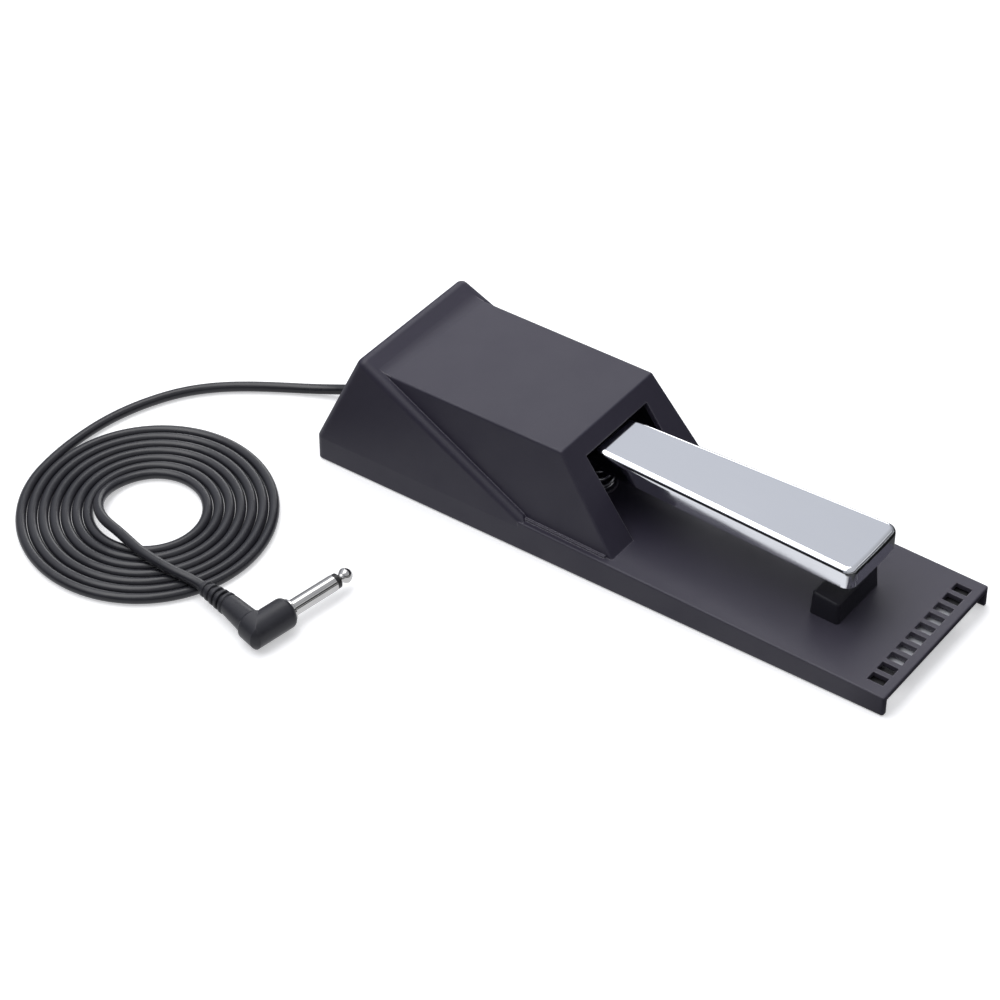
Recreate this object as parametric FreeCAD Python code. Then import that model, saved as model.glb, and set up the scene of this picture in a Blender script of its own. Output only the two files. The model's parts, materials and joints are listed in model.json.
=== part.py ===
import FreeCAD, Part
import math
import os

# Sustain pedal: moulded case with a steel lever, a coiled cable and a right-angle plug.
# Frame: origin at the centre of the rubber mat's underside on the floor, +X right,
# +Y to the rear (cable end), +Z up. The toe of the pedal points to -Y. Millimetres.

Vec = FreeCAD.Vector
RIGHT, REARWARD, UP = (1, 0, 0), (0, 1, 0), (0, 0, 1)

# ---------------------------------------------------------------- driving dimensions
CASE_LEN, CASE_W = 250.0, 74.0
TOE_Y, REAR_Y = -CASE_LEN / 2, CASE_LEN / 2
HALF_W = CASE_W / 2
SKIRT_Z = 0.5                 # lower edge of the skirts above the floor
WALL = 2.2                    # moulded wall
GAP, HAIR = 0.02, 0.01        # clearances between pieces that touch

PLATE_T, MAT_T = 1.2, 1.5
PLATE_Z = MAT_T               # underside of the bottom plate
PLATE_TOP = PLATE_Z + PLATE_T

LEVER_T = 1.2
LEVER_DEPTH = 8.2
LEVER_REF_Y, LEVER_REF_Z = -45, 37.96      # a point on the lever's top
LEVER_SLOPE = 0.0092
LEVER_TILT = math.atan(LEVER_SLOPE)
LEVER_HALF_REAR = 11.92       # half width of the lever's parallel rear part
TRAVEL_DEG = 6.0
PIVOT_Y, PIVOT_Z = 80.0, 32.5
AXLE_R, BUSH_BORE_R, BUSH_R = 3.0, 3.05, 4.2
BUSH_FLANGE_T = 1.5

SPRING_Y, SPRING_Z0 = 21.0, 12.95
FELT_Y0, FELT_Y1, FELT_HALF, FELT_T = 25.5, 30.5, 10, 1.8

CABLE_R = 2.0
CLAMP_Z = PLATE_TOP + CABLE_R + 0.03       # cable axis in the clamp
GROMMET_Z = 7.2                            # cable axis in the rear wall

# hole and screw places in plan (x, y)
BOSSES = [(-28, -103), (28, -103), (-28, -22), (28, -22), (-30.5, 109.5), (30.5, 109.5)]
BRACKET_SCREWS = [(-21.5, 75), (21.5, 75), (-21.5, 93), (21.5, 93)]
SWITCH_BRACKET_SCREWS = [(11.5, 50.5), (11.5, 61.5)]
CLAMP_SCREWS = [(-7.5, 108), (7.5, 108)]
STEMS = [(-8.0, -86.5), (8.0, -86.5)]      # stop block stems


# ---------------------------------------------------------------- helpers
def save(name, shape):
    """Writes one node; several solids stay together as one compound."""
    shape = shape.Solids[0] if len(shape.Solids) == 1 else shape
    shape.exportStep("parts/%s.step" % name)


def box(x0, x1, y0, y1, z0, z1):
    return Part.makeBox(x1 - x0, y1 - y0, z1 - z0, Vec(x0, y0, z0))


def cyl(radius, start, direction, length):
    return Part.makeCylinder(radius, length, Vec(*start), Vec(*direction))


def cone(radius0, radius1, start, direction, length):
    return Part.makeCone(radius0, radius1, length, Vec(*start), Vec(*direction))


def post(radius, x, y, z, height):
    return cyl(radius, (x, y, z), UP, height)


def on_pivot(radius, x, length, side=1):
    """Cylinder on the pivot axis; side -1 mirrors it to the left."""
    return cyl(radius, (side * x, PIVOT_Y, PIVOT_Z), (side, 0, 0), length)


def prism(corners, push):
    return Part.Face(Part.makePolygon(corners + corners[:1])).extrude(push)


def yz_prism(outline, x0, x1):
    return prism([Vec(x0, y, z) for y, z in outline], Vec(x1 - x0, 0, 0))


def xz_prism(outline, y0, y1):
    return prism([Vec(x, y0, z) for x, z in outline], Vec(0, y1 - y0, 0))


def mirrored_prism(right, y0, y1):
    """Prism along Y with a symmetric section; right lists (half width, z) upwards."""
    left = [(-half, z) for half, z in right]
    return xz_prism(left[:1] + right + left[:0:-1], y0, y1)


def arc(start, middle, end):
    return Part.Arc(start, middle, end).toShape()


def lines(points):
    return [Part.makeLine(a, b) for a, b in zip(points, points[1:])]


def span(side, near, far):
    """X limits of a piece lying between near and far on one side, lowest first."""
    return sorted((side * near, side * far))


def fuse(first, *others):
    return first.multiFuse(list(others)).removeSplitter()


def drill(shape, places, radius, z, depth):
    for x, y in places:
        shape = shape.cut(post(radius, x, y, z, depth))
    return shape


def cut_cross(shape, x, y, reach, half_slot, z0, z1):
    shape = shape.cut(box(x - reach, x + reach, y - half_slot, y + half_slot, z0, z1))
    return shape.cut(box(x - half_slot, x + half_slot, y - reach, y + reach, z0, z1))


def mid_point(edge):
    return edge.valueAt((edge.FirstParameter + edge.LastParameter) / 2)


def fillet_or_none(shape, radius, edges):
    """The filleted shape, or None where the kernel fails or spoils the solid."""
    try:
        rounded = shape.makeFillet(radius, edges)
        if rounded.isValid() and len(rounded.Solids) == len(shape.Solids):
            return rounded
    except Exception:
        pass
    return None


def try_fillet(shape, radius, pick):
    """Rounds the picked edges; if the whole set fails, rounds those that work one by one."""
    edges = [edge for edge in shape.Edges if pick(edge)]
    if not edges:
        return shape
    rounded = fillet_or_none(shape, radius, edges)
    if rounded is not None:
        return rounded
    for middle in [mid_point(edge) for edge in edges]:
        near = [e for e in shape.Edges if mid_point(e).distanceToPoint(middle) < 0.05]
        if near:
            rounded = fillet_or_none(shape, radius, near[:1])
            if rounded is not None:
                shape = rounded
    return shape


def arc_from(start, tangent, end):
    """(start, middle, end) of the arc leaving start along tangent; no middle if straight."""
    chord = end - start
    normal = chord - tangent * chord.dot(tangent)
    if normal.Length < 1e-5:
        return start, None, end
    radius = chord.dot(chord) / (2 * normal.Length)
    centre = start + normal.normalize() * radius
    outward = (start - centre) + (end - centre)
    return start, centre + outward.normalize() * radius, end


def biarc(p0, t0, p1, t1):
    """Two arcs that leave p0 along t0, meet smoothly and reach p1 along t1."""
    chord, both = p1 - p0, t0 + t1
    q = 2 * (1 - t0.dot(t1))
    if q > 1e-9:
        along = chord.dot(both)
        reach = (-along + math.sqrt(along ** 2 + q * chord.dot(chord))) / q
    else:
        reach = chord.dot(chord) / (4 * chord.dot(t0))
    joint = ((p0 + t0 * reach) + (p1 - t1 * reach)) * 0.5
    halves = [arc_from(p0, t0, joint), tuple(reversed(arc_from(p1, t1 * -1, joint)))]
    return [Part.makeLine(a, b) if mid is None else arc(a, mid, b) for a, mid, b in halves]


def pipe(points, radius, step=1):
    """Round bar along a smooth curve through the points, made of arcs that join tangentially."""
    curve = Part.BSplineCurve()
    curve.interpolate([Vec(*point) for point in points])
    knots = curve.getKnots()
    edges, i = [], 0
    while i < len(knots) - 1:
        j = min(i + step, len(knots) - 1)
        edges += biarc(curve.value(knots[i]), curve.tangent(knots[i])[0],
                       curve.value(knots[j]), curve.tangent(knots[j])[0])
        i = j
    circle = Part.Circle(Vec(*points[0]), curve.tangent(knots[0])[0], radius)
    return Part.Wire(edges).makePipe(Part.Face(Part.Wire(circle.toShape())))


def pan_screws(places, seat_z, head_r, head_h):
    """Pan-head screws, heads up on seat_z, shanks down through the bottom plate."""
    screws = []
    top_z = seat_z + head_h
    end_z = PLATE_Z + GAP
    for x, y in places:
        head = try_fillet(post(head_r, x, y, seat_z + HAIR, head_h), head_h * 0.45,
                          lambda edge: edge.CenterOfMass.z > top_z - 0.1)
        screw = head.fuse(post(1.2, x, y, end_z, seat_z - end_z + 0.5)).removeSplitter()
        screw = cut_cross(screw, x, y, head_r * 0.55, 0.25, top_z - 0.7, top_z + 1)
        screws.append(screw.Solids[0])
    return Part.makeCompound(screws)


def lever_top_z(y):
    return LEVER_REF_Z + LEVER_SLOPE * (y - LEVER_REF_Y)


FELT_Z = lever_top_z(FELT_Y1) + 0.06

# ---------------------------------------------------------------- upper case
DECK_T = 2.0
DECK_Z0, DECK_SLOPE = 8.5, 0.0275          # deck height at the toe edge, rise per mm
REAR_KNEE_Z = 10.4                         # the rear wall leans forward above this
REAR_LEAN = 0.4402                         # mm forward per mm up
LEAN_COS, LEAN_SIN = 0.9153, 0.4029
REAR_WALL_Y = WALL / 0.915                 # leaning wall measured along Y
SIDE_DRAFT = 0.100                         # mm inward per mm up, on the wedge sides

HOUSING_FOOT_Y, HOUSING_TOP_Y = -9.0, 17.0
HOUSING_TOP_Z, HOUSING_FOOT_Z = 47.0, 11.5
HOUSING_HALF_TOP, HOUSING_HALF_FOOT = 29.6, 33.8
HOUSING_H = HOUSING_TOP_Z - HOUSING_FOOT_Z
HOUSING_ROOF_Z, HOUSING_REAR_Y = 47.28, 103
FRONT_NORMAL_Y, FRONT_NORMAL_Z = 0.8068, -0.5909   # into the housing, off its front wall
PLINTH_Y, PLINTH_STEP = -6, 0.8            # front edge, and height above the deck
CAVITY_TOP_Z, CAVITY_FRONT_Y = 44.8, 35

BLEND_Z, BLEND_R = 47.277, 12.0            # hollow blend from the roof up to the rim
RIM_R, RIM_CENTRE_Z = 3.0, 48.0
WEDGE_FRONT_Y, WEDGE_FRONT_Z = 28.6, 12.7
LIP_FOOT = Vec(0, 30.2, 14.6)              # lower end of the slope down from the rim

OPEN_HALF, OPEN_TOP = 19.7, 41.0           # opening for the lever
SLOTS, SLOT_PITCH, SLOT_W, SLOT_Y0, SLOT_Y1 = 10, 6.52, 4.4, -121.3, -114.8
SEAT_Z = 11.2                              # underside of the spring seat


def deck_z(y):
    return DECK_Z0 + DECK_SLOPE * (y - TOE_Y)


def rear_y(z):
    return REAR_Y if z <= REAR_KNEE_Z else REAR_Y - REAR_LEAN * (z - REAR_KNEE_Z)


def wedge_half(z):
    return HALF_W - max(0.0, z - REAR_KNEE_Z) * SIDE_DRAFT


def housing_half(z):
    draft = (HOUSING_HALF_FOOT - HOUSING_HALF_TOP) / HOUSING_H
    return HOUSING_HALF_TOP + draft * (HOUSING_TOP_Z - z)


def housing_front_y(z):
    lean = (HOUSING_TOP_Y - HOUSING_FOOT_Y) / HOUSING_H
    return HOUSING_FOOT_Y + lean * (z - HOUSING_FOOT_Z)


def inner_front_y(z):
    return housing_front_y(z - FRONT_NORMAL_Z * WALL) + FRONT_NORMAL_Y * WALL


# the slope leaves the rim's arc tangentially at LIP_TOP
RIM_CENTRE = Vec(0, rear_y(RIM_CENTRE_Z) - RIM_R / LEAN_COS, RIM_CENTRE_Z)
to_foot = LIP_FOOT - RIM_CENTRE
foot_dir = to_foot * (1 / to_foot.Length)
foot_side = Vec(0, foot_dir.z, -foot_dir.y)
rim_ratio = RIM_R / to_foot.Length
lip_normal = foot_dir * rim_ratio + foot_side * math.sqrt(1 - rim_ratio * rim_ratio)
LIP_TOP = RIM_CENTRE + lip_normal * RIM_R


def across(edges):
    """Closed YZ outline pushed from x = -40 to 40."""
    shape = Part.Face(Part.Wire(edges)).extrude(Vec(80, 0, 0))
    shape.translate(Vec(-40, 0, 0))
    return shape


def housing_taper():
    return mirrored_prism([(housing_half(9), 9), (housing_half(50), 50)], -20, 130)


def wedge():
    """Rear body: leaning rear wall, rounded rim, straight slope down to the deck."""
    slant_top = RIM_CENTRE + Vec(0, LEAN_COS, LEAN_SIN) * RIM_R
    shape = across(
        lines([Vec(0, WEDGE_FRONT_Y, SKIRT_Z), Vec(0, REAR_Y, SKIRT_Z),
               Vec(0, REAR_Y, REAR_KNEE_Z), slant_top])
        + [arc(slant_top, RIM_CENTRE + Vec(0, 0, RIM_R), LIP_TOP)]
        + lines([LIP_TOP, LIP_FOOT, Vec(0, WEDGE_FRONT_Y, WEDGE_FRONT_Z),
                 Vec(0, WEDGE_FRONT_Y, SKIRT_Z)]))
    shape = shape.common(mirrored_prism(
        [(HALF_W, -1), (HALF_W, REAR_KNEE_Z), (wedge_half(56), 56)], -10, 130))

    def on_side(edge):
        centre = edge.CenterOfMass
        return abs(abs(centre.x) - wedge_half(centre.z)) < 0.6

    def rear_corner(edge):
        bounds, y = edge.BoundBox, edge.CenterOfMass.y
        slant = bounds.ZMin > 9.9 and bounds.ZMax < 50.2 and bounds.ZLength > 30 and y > 105
        upright = bounds.ZMax < 10.8 and bounds.ZLength > 8 and abs(y - REAR_Y) < 0.1
        return slant or upright

    def rim(edge):
        return edge.BoundBox.ZMin > 46.9 and edge.CenterOfMass.y > 98 and on_side(edge)

    def lip(edge):
        bounds = edge.BoundBox
        return bounds.ZMax > 40 and 12 < bounds.ZMin < 16 and bounds.YLength > 40 and on_side(edge)

    shape = try_fillet(shape, 3.0, rear_corner)
    shape = try_fillet(shape, 1.5, rim)
    return try_fillet(shape, 0.8, lip)


def housing():
    """Lever housing in front of the wedge, with a sloping front wall."""
    shape = yz_prism([(housing_front_y(10), 10), (housing_front_y(HOUSING_TOP_Z), HOUSING_TOP_Z),
                      (95, HOUSING_ROOF_Z), (HOUSING_REAR_Y, HOUSING_ROOF_Z),
                      (HOUSING_REAR_Y, 10)], -40, 40)
    shape = shape.common(housing_taper())
    shape = try_fillet(shape, 0.9,
                       lambda edge: edge.BoundBox.ZMin > 46.5 and edge.CenterOfMass.y < 60)
    return try_fillet(shape, 0.8,
                      lambda edge: edge.BoundBox.ZLength > 30 and edge.CenterOfMass.y < 10)


def roof_blend():
    lip = LIP_TOP - LIP_FOOT
    corner_y = LIP_FOOT.y + (BLEND_Z - LIP_FOOT.z) * lip.y / lip.z
    angle = math.atan2(lip.z, lip.y)
    reach = BLEND_R * math.tan(angle / 2)
    start = Vec(0, corner_y - reach, BLEND_Z)
    end = Vec(0, corner_y + reach * math.cos(angle), BLEND_Z + reach * math.sin(angle))
    middle = Vec(0, start.y + BLEND_R * math.sin(angle / 2),
                 BLEND_Z + BLEND_R * (1 - math.cos(angle / 2)))
    shape = across([arc(start, middle, end)]
                   + lines([end, Vec(0, end.y + 1, 46), Vec(0, start.y, 46), start]))
    return shape.common(housing_taper())


def plinth():
    """Low step around the housing's foot."""
    shape = yz_prism([(PLINTH_Y, 10), (PLINTH_Y, deck_z(PLINTH_Y) + PLINTH_STEP),
                      (30, deck_z(30) + PLINTH_STEP), (30, 10)], -40, 40)
    return shape.common(mirrored_prism(
        [(housing_half(11) + 1.0, 9), (housing_half(14) + 1.0, 14)], -20, 130))


def case_hollow():
    """Everything inside the shell: low part, housing and wedge."""
    # low part, open underneath and at the toe
    pocket = yz_prism([(-130, -1), (-130, deck_z(-130) - DECK_T), (36, deck_z(36) - DECK_T),
                       (36, -1)], -HALF_W + WALL, HALF_W - WALL)
    rear_inside = [(rear_y(CAVITY_TOP_Z) - REAR_WALL_Y, CAVITY_TOP_Z),
                   (REAR_Y - WALL, REAR_KNEE_Z - 0.9), (REAR_Y - WALL, -1)]
    # housing cavity: its floor is the deck as far as CAVITY_FRONT_Y, open below behind that
    housing_cavity = yz_prism(
        [(inner_front_y(deck_z(PLINTH_Y)), deck_z(PLINTH_Y)),
         (inner_front_y(CAVITY_TOP_Z), CAVITY_TOP_Z)] + rear_inside
        + [(CAVITY_FRONT_Y, -1), (CAVITY_FRONT_Y, deck_z(CAVITY_FRONT_Y))], -40, 40)
    housing_cavity = housing_cavity.common(mirrored_prism(
        [(housing_half(8) - WALL, -2), (housing_half(8) - WALL, 8),
         (housing_half(50) - WALL, 50)], -20, 130))
    wedge_cavity = yz_prism([(35.2, -1), (35.2, 14.3), (91.9, 41.8), (96, 43.9),
                             (97.5, CAVITY_TOP_Z)] + rear_inside, -40, 40)
    wedge_cavity = wedge_cavity.common(mirrored_prism(
        [(HALF_W - WALL, -2), (HALF_W - WALL, REAR_KNEE_Z), (wedge_half(56) - WALL, 56)],
        -10, 130))
    return pocket.multiFuse([housing_cavity, wedge_cavity])


def upper_case():
    slab = yz_prism([(TOE_Y, SKIRT_Z), (TOE_Y, deck_z(TOE_Y)), (31, deck_z(31)), (31, SKIRT_Z)],
                    -HALF_W, HALF_W)
    case = fuse(slab, wedge(), housing(), roof_blend(), plinth()).cut(case_hollow())

    # opening for the lever, through the sloping front wall
    case = case.cut(yz_prism([(-16, deck_z(-16)), (16, deck_z(16)), (16, OPEN_TOP),
                              (-16, OPEN_TOP)], -OPEN_HALF, OPEN_HALF))
    for i in range(SLOTS):
        slot_x1 = (SLOTS - 1) * SLOT_PITCH / 2 + SLOT_W / 2 - i * SLOT_PITCH
        case = case.cut(box(slot_x1 - SLOT_W, slot_x1, SLOT_Y0, SLOT_Y1, 4, 12))

    # screw bosses, spring seat with its spigot, rib above the felt
    for x, y in BOSSES:
        top = deck_z(y) - 0.5 if y < 30 else 31.0
        case = case.fuse(post(3.2, x, y, PLATE_TOP + GAP, top - PLATE_TOP - GAP))
    case = case.fuse(post(8.0, 0, SPRING_Y, SEAT_Z, SPRING_Z0 - SEAT_Z - GAP))
    case = case.fuse(post(4.7, 0, SPRING_Y, SEAT_Z, 4.9))
    case = case.fuse(box(-FELT_HALF, FELT_HALF, FELT_Y0, FELT_Y1, FELT_Z + FELT_T, 45.6))
    case = drill(case, BOSSES, 1.42, 0, 7.0)

    # stepped cable hole, and two holes for the stop block's stems
    case = case.cut(cyl(3.3, (0, REAR_Y - 6, GROMMET_Z), REARWARD, 12))
    case = case.cut(cyl(4.1, (0, REAR_Y - WALL - 3, GROMMET_Z), REARWARD, 3.0))
    case = drill(case, STEMS, 2.05, 4, 10).removeSplitter()

    def toe_corner(edge):
        centre = edge.CenterOfMass
        return (abs(centre.y - TOE_Y) < 0.2 and abs(abs(centre.x) - HALF_W) < 0.3
                and 6 < edge.BoundBox.ZLength < 9)

    def deck_side(edge):
        centre = edge.CenterOfMass
        return (abs(abs(centre.x) - HALF_W) < 0.05 and edge.BoundBox.YLength > 120
                and centre.z > 8)

    case = try_fillet(case, 0.9, toe_corner)
    return try_fillet(case, 0.6, deck_side)


# ---------------------------------------------------------------- bottom plate and mat
TONGUE_RISE = 3.0
MAT_TOP = MAT_T - HAIR
GROOVE_PITCH = 5.6


def bottom_plate():
    outline = [(-34.3, -111), (34.3, -111), (34.3, 119.3), (31.3, 122.3), (-31.3, 122.3),
               (-34.3, 119.3)]
    sheet = prism([Vec(x, y, PLATE_Z) for x, y in outline], Vec(0, 0, PLATE_TOP - PLATE_Z))
    # raised tongue at the toe
    tongue = yz_prism([(-110, PLATE_Z), (-110, PLATE_TOP), (-112.6, PLATE_TOP + TONGUE_RISE),
                       (-123.6, PLATE_TOP + TONGUE_RISE), (-123.6, PLATE_Z + TONGUE_RISE),
                       (-113.1, PLATE_Z + TONGUE_RISE)], -19.5, 19.5)
    plate = drill(fuse(sheet, tongue), BOSSES, 1.6, 0, 6)
    return drill(plate, BRACKET_SCREWS + SWITCH_BRACKET_SCREWS + CLAMP_SCREWS, 1.25, 0, 6)


def anti_slip_mat():
    mat = box(-31.8, 31.8, -108.5, 118.5, 0, MAT_TOP)
    mat = try_fillet(mat, 5.0, lambda edge: edge.BoundBox.ZLength > 1)
    mat = drill(mat, BOSSES, 3.3, -1, 4)
    # raised pads under the outer slots, at the toe corners
    for side in (-1, 1):
        mat = mat.fuse(box(*span(side, 20.3, 34.4), -120.2, -111.3, 0, 5.5))
        mat = mat.fuse(box(*span(side, 20.3, 31.7), -112.5, -107, 0, MAT_TOP))
    mat = mat.removeSplitter()
    # lengthwise grooves in the underside
    for i in range(1, 5):
        for side in (-1, 1):
            x = side * (i * GROOVE_PITCH - 1.2)
            mat = mat.cut(box(x - 0.7, x + 0.7, -98, 104, -1, 0.6))
    return mat


def case_screws():
    screws = []
    for x, y in BOSSES:
        head = try_fillet(post(2.8, x, y, 0.4, 1.09), 0.4,
                          lambda edge: edge.CenterOfMass.z < 0.5)
        screw = head.fuse(post(1.4, x, y, 1.2, 5.6)).removeSplitter()
        screws.append(cut_cross(screw, x, y, 1.6, 0.3, 0, 0.95).Solids[0])
    return Part.makeCompound(screws)


# ---------------------------------------------------------------- pedal lever
LEVER_TOE_Y, LEVER_CORNER_R, LEVER_TOE_BOW = -97.75, 4.2, 0.25
LEVER_HALF_REF, LEVER_TAPER = 14.66, 0.0392    # half width at LEVER_REF_Y, loss per mm
TAPER_END_Y = 25
CUP_R = 8.5
CUP_TOP = lever_top_z(SPRING_Y - CUP_R) - LEVER_T - GAP    # against the lever's underside
SPRING_Z1 = CUP_TOP - 1.52


def lever_outline(inset, end_y):
    """Plan of the lever's inverted tray, with rounded corners and a bowed edge at the toe."""
    radius = LEVER_CORNER_R - inset
    toe_y = LEVER_TOE_Y + inset
    half_rear = LEVER_HALF_REAR - inset
    corner_y = toe_y + radius
    half_corner = LEVER_HALF_REF - LEVER_TAPER * (corner_y - LEVER_REF_Y) - inset
    half_toe = half_corner - radius
    diagonal = radius * math.sqrt(0.5)
    mid_x, mid_y = half_toe + diagonal, corner_y - diagonal
    left, right = [[Vec(side * half_rear, end_y, 0), Vec(side * half_rear, TAPER_END_Y, 0),
                    Vec(side * half_corner, corner_y, 0), Vec(side * mid_x, mid_y, 0),
                    Vec(side * half_toe, toe_y, 0)] for side in (-1, 1)]
    return Part.Wire(
        lines(left[:3])
        + [arc(*left[2:]), arc(left[4], Vec(0, toe_y - LEVER_TOE_BOW, 0), right[4]),
           arc(*right[:1:-1])]
        + lines([right[2], right[1], right[0], left[0]]))


def pedal_lever():
    outside = Part.Face(lever_outline(0, 90.0)).extrude(Vec(0, 0, LEVER_DEPTH))
    outside = try_fillet(outside, 2.4, lambda edge: edge.BoundBox.ZMin > LEVER_DEPTH - 0.01
                         and edge.CenterOfMass.y < 89.9)
    web_z = LEVER_DEPTH - LEVER_T
    inside = Part.Face(lever_outline(LEVER_T, 94.0)).extrude(Vec(0, 0, web_z + 2))
    inside.translate(Vec(0, 0, -2))
    inside = try_fillet(inside, 1.2, lambda edge: edge.BoundBox.ZMin > web_z - 0.01
                        and edge.CenterOfMass.y < 93.9)
    lever = outside.cut(inside)
    lever.translate(Vec(0, 0, -LEVER_DEPTH))
    lever.rotate(Vec(0, LEVER_REF_Y, 0), Vec(*RIGHT), math.degrees(LEVER_TILT))
    lever.translate(Vec(0, 0, LEVER_REF_Z))
    # ears around the bushes
    ear_outline = [(PIVOT_Y - 14, 33), (PIVOT_Y - 5.4, PIVOT_Z - 5.1),
                   (PIVOT_Y + 5.2, PIVOT_Z - 5.2), (PIVOT_Y + 9.9, 33),
                   (PIVOT_Y + 9.9, 35.5), (PIVOT_Y - 14, 35.5)]
    for side in (-1, 1):
        x0, x1 = span(side, LEVER_HALF_REAR - LEVER_T, LEVER_HALF_REAR)
        lever = lever.fuse(on_pivot(7.4, x0, LEVER_T)).fuse(yz_prism(ear_outline, x0, x1))
    lever = lever.cut(on_pivot(BUSH_R + HAIR, -20, 40))
    lever = lever.cut(post(2.06, 0, SPRING_Y, 30, 15))
    return lever.removeSplitter()


def lever_bushes():
    bushes = []
    for side in (-1, 1):
        bush = on_pivot(BUSH_R, 9.4, LEVER_HALF_REAR - 9.4 + 0.3, side)
        flange = on_pivot(5.6, LEVER_HALF_REAR + GAP, BUSH_FLANGE_T, side)
        bush = bush.fuse(flange).removeSplitter()
        bushes.append(bush.cut(on_pivot(BUSH_BORE_R, 5, 20, side)).Solids[0])
    return Part.makeCompound(bushes)


def spring_cup():
    """Disc under the lever, spigot inside the spring, snap stem up through the lever."""
    cup = post(CUP_R, 0, SPRING_Y, CUP_TOP - 1.5, 1.5)
    cup = cup.fuse(cone(4.2, 4.7, (0, SPRING_Y, CUP_TOP - 4.6), UP, 3.2))
    cup = cup.fuse(post(2.0, 0, SPRING_Y, CUP_TOP - 1.0, 3.4))
    return cup.fuse(cone(2.5, 1.6, (0, SPRING_Y, CUP_TOP + 1.42), UP, 1.0)).removeSplitter()


# ---------------------------------------------------------------- return spring
SPRING_R, WIRE_R = 6.5, 0.65
END_TURNS, OPEN_TURNS = 1.15, 5.0
POINTS_PER_TURN = 10


def return_spring():
    z0, z1 = SPRING_Z0 + WIRE_R + GAP, SPRING_Z1 - WIRE_R - GAP
    end_rise = 2 * WIRE_R * 1.06 * END_TURNS
    turns = OPEN_TURNS + 2 * END_TURNS
    steps = int(turns * POINTS_PER_TURN)
    points = []
    for i in range(steps + 1):
        turn = turns * i / steps
        if turn < END_TURNS:
            z = z0 + end_rise * (turn / END_TURNS)
        elif turn > turns - END_TURNS:
            z = z1 - end_rise * ((turns - turn) / END_TURNS)
        else:
            z = z0 + end_rise + (z1 - z0 - 2 * end_rise) * (turn - END_TURNS) / OPEN_TURNS
        angle = 2 * math.pi * turn + math.radians(200)
        points.append((SPRING_R * math.cos(angle), SPRING_Y + SPRING_R * math.sin(angle), z))
    return pipe(points, WIRE_R)


# ---------------------------------------------------------------- stops
STOP_Y = -87.5                # where the lever's pressed position is worked out
BLOCK_Y0, BLOCK_Y1 = -92.5, -80.2


def stop_block():
    """Block on the deck, its top following the underside of the pressed lever."""
    travel = math.radians(TRAVEL_DEG)
    arm_y, arm_z = STOP_Y - PIVOT_Y, lever_top_z(STOP_Y) - LEVER_T - PIVOT_Z
    pressed_y = PIVOT_Y + arm_y * math.cos(travel) - arm_z * math.sin(travel)
    pressed_z = PIVOT_Z + arm_y * math.sin(travel) + arm_z * math.cos(travel)
    slope = math.tan(travel + LEVER_TILT)

    def top_point(y):
        return y, pressed_z + (y - pressed_y) * slope - 0.12

    block = yz_prism([(BLOCK_Y0, deck_z(BLOCK_Y0) + HAIR), top_point(BLOCK_Y0 + 0.5),
                      top_point(BLOCK_Y1 - 0.5), (BLOCK_Y1, deck_z(BLOCK_Y1) + HAIR)], -20, 20)
    block = block.common(mirrored_prism([(14.4, 8), (13.7, 21)], -100, -70))
    block = try_fillet(block, 1.6, lambda edge: edge.BoundBox.ZLength > 6)
    block = try_fillet(block, 1.0, lambda edge: edge.BoundBox.ZMin > 15)
    for x, y in STEMS:
        block = block.fuse(post(2.0, x, y, 4.6, 7.0))
        block = block.fuse(cone(2.0, 3.0, (x, y, 4.4), UP, 2.4))
    return block.removeSplitter()


def up_stop_felt():
    return box(-FELT_HALF, FELT_HALF, FELT_Y0, FELT_Y1, FELT_Z, FELT_Z + FELT_T - HAIR)


# ---------------------------------------------------------------- pivot bracket
BRACKET_T = 1.5
CHEEK_X = LEVER_HALF_REAR + GAP + BUSH_FLANGE_T + 0.12     # inner face of each cheek
AXLE_HALF = CHEEK_X + BRACKET_T + 2.2
CLIP_X = CHEEK_X + BRACKET_T + 0.3                         # inner face of each clip groove


def pivot_bracket():
    base_top = PLATE_TOP + BRACKET_T
    base = box(-27, 27, 70, 98, PLATE_TOP + HAIR, base_top)
    base = try_fillet(base, 3.0, lambda edge: edge.BoundBox.ZLength > 1)
    cheek_outline = [(70.5, PLATE_TOP + 0.5), (97.5, PLATE_TOP + 0.5), (97.5, 9),
                     (88.2, PIVOT_Z), (71.8, PIVOT_Z), (70.5, 9)]
    gusset_outline = [(83.2, PLATE_TOP + 1), (84.8, PLATE_TOP + 1), (84.8, 14), (83.2, 14)]
    gusset_front = [(CHEEK_X, 0), (CHEEK_X + 7, 0), (CHEEK_X + 7, base_top),
                    (CHEEK_X + BRACKET_T, 14), (CHEEK_X, 14)]
    sides = []
    for side in (-1, 1):
        x0, x1 = span(side, CHEEK_X, CHEEK_X + BRACKET_T)
        cheek = yz_prism(cheek_outline, x0, x1).fuse(on_pivot(8.2, x0, BRACKET_T))
        gusset = yz_prism(gusset_outline, *span(side, CHEEK_X, CHEEK_X + 7))
        gusset = gusset.common(xz_prism([(side * x, z) for x, z in gusset_front], 80, 90))
        sides += [cheek, gusset]
    bracket = fuse(base, *sides).cut(on_pivot(AXLE_R + 0.03, -30, 60))
    return drill(bracket, BRACKET_SCREWS, 1.7, 0, 8).removeSplitter()


def bracket_screws():
    return pan_screws(BRACKET_SCREWS, PLATE_TOP + BRACKET_T, 2.8, 1.9)


def collar(side, x, length, bore_r):
    """Ring on the pivot axis, for the axle's groove and its clip."""
    return on_pivot(5.0, x, length, side).cut(on_pivot(bore_r, CLIP_X - 1, 3, side))


def pivot_axle():
    axle = on_pivot(AXLE_R, -AXLE_HALF, 2 * AXLE_HALF)
    axle = try_fillet(axle, 0.4,
                      lambda edge: abs(abs(edge.CenterOfMass.x) - AXLE_HALF) < 0.01)
    for side in (-1, 1):
        axle = axle.cut(collar(side, CLIP_X, 0.8, 2.3))
    return axle


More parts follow.
